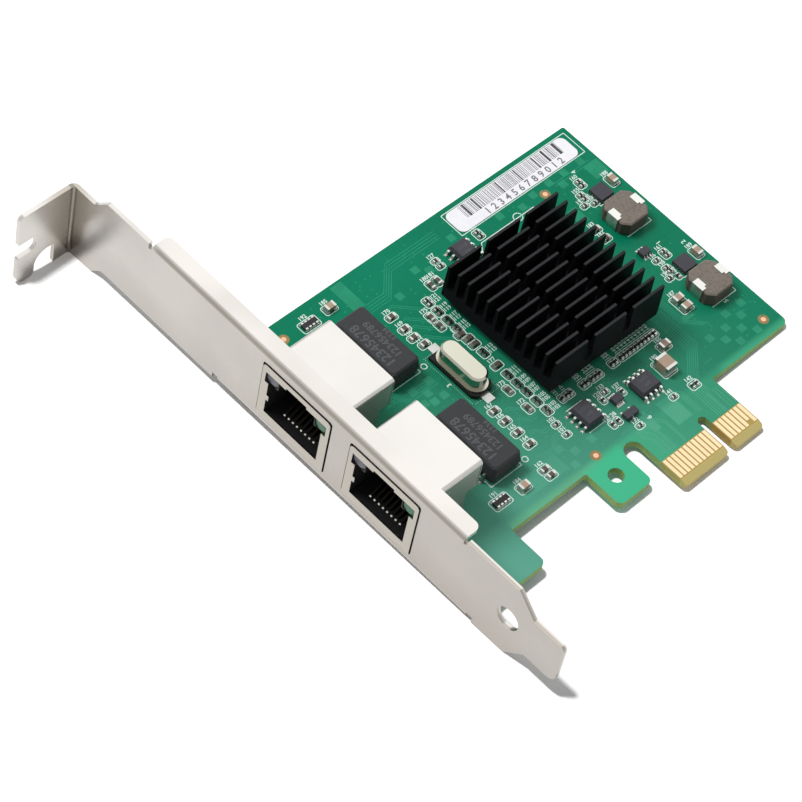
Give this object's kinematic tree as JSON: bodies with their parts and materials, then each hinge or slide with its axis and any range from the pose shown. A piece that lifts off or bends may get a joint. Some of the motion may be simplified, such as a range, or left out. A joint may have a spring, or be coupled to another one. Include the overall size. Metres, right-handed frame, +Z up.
{
  "type": "network interface card",
  "caption": "Computer expansion card with a full-height mounting bracket, side-by-side network jacks, a finned heatsink and an edge connector.",
  "frame": {"origin": "bracket's outer face, level with the tip of the edge connector and with the board's component face", "axes": "+X into the card from the bracket, +Y from the edge connector towards the bracket's screw ear, +Z up from the component face"},
  "size_m": [0.0983, 0.12, 0.0215],
  "materials": {
    "solder_mask": "green solder mask, satin gloss",
    "gold": "gold plate",
    "nickel_steel": "nickel-plated sheet steel, satin",
    "screw_steel": "bright plated steel",
    "bright_tin": "bright tin-plated shell",
    "black_plastic": "moulded, matt",
    "green_light": "tinted light pipe",
    "clear_light": "clear light pipe",
    "charcoal_moulding": "moulding compound, matt",
    "tin_lead": "tinned leads",
    "black_anodised": "black anodised aluminium",
    "thermal_grey": "soft filled pad",
    "carrier_laminate": "chip carrier laminate",
    "crystal_steel": "bright pressed can",
    "ferrite_taupe": "pressed powder core, matt",
    "capacitor_ceramic": "fired ceramic, tan",
    "resistor_ceramic": "black coated ceramic",
    "label_paper": "white paper, rounded corners"
  },
  "bodies": {
    "root": {"bracket": "nickel_steel", "bracket_screws": "screw_steel", "circuit_board": "solder_mask", "controller_cap": "charcoal_moulding", "controller_carrier": "carrier_laminate", "controller_solder": "tin_lead", "crystal_base": "black_plastic", "crystal_can": "crystal_steel", "crystal_leads": "tin_lead", "edge_contacts": "gold", "heatsink": "black_anodised", "inductor_1_clips": "tin_lead", "inductor_1_core": "ferrite_taupe", "inductor_2_clips": "tin_lead", "inductor_2_core": "ferrite_taupe", "jack_1_contacts": "gold", "jack_1_housing": "black_plastic", "jack_1_left_light": "clear_light", "jack_1_right_light": "green_light", "jack_1_shield": "bright_tin", "jack_2_contacts": "gold", "jack_2_housing": "black_plastic", "jack_2_left_light": "clear_light", "jack_2_right_light": "green_light", "jack_2_shield": "bright_tin", "label": "label_paper", "large_capacitor_bodies": "capacitor_ceramic", "large_capacitor_ends": "tin_lead", "medium_capacitor_bodies": "capacitor_ceramic", "medium_capacitor_ends": "tin_lead", "memory_chip_body": "charcoal_moulding", "memory_chip_leads": "tin_lead", "power_chip_body": "charcoal_moulding", "power_chip_leads": "tin_lead", "regulator_1_body": "charcoal_moulding", "regulator_1_pads": "tin_lead", "regulator_2_body": "charcoal_moulding", "regulator_2_pads": "tin_lead", "resistor_bodies": "resistor_ceramic", "resistor_ends": "tin_lead", "resistor_network_bodies": "resistor_ceramic", "resistor_network_ends": "tin_lead", "small_capacitor_bodies": "capacitor_ceramic", "small_capacitor_ends": "tin_lead", "small_package_bodies": "charcoal_moulding", "small_package_leads": "tin_lead", "supervisor_chip_body": "charcoal_moulding", "supervisor_chip_leads": "tin_lead", "thermal_pad": "thermal_grey", "transformer_1_body": "charcoal_moulding", "transformer_1_leads": "tin_lead", "transformer_2_body": "charcoal_moulding", "transformer_2_leads": "tin_lead"}
  },
  "joints": []
}
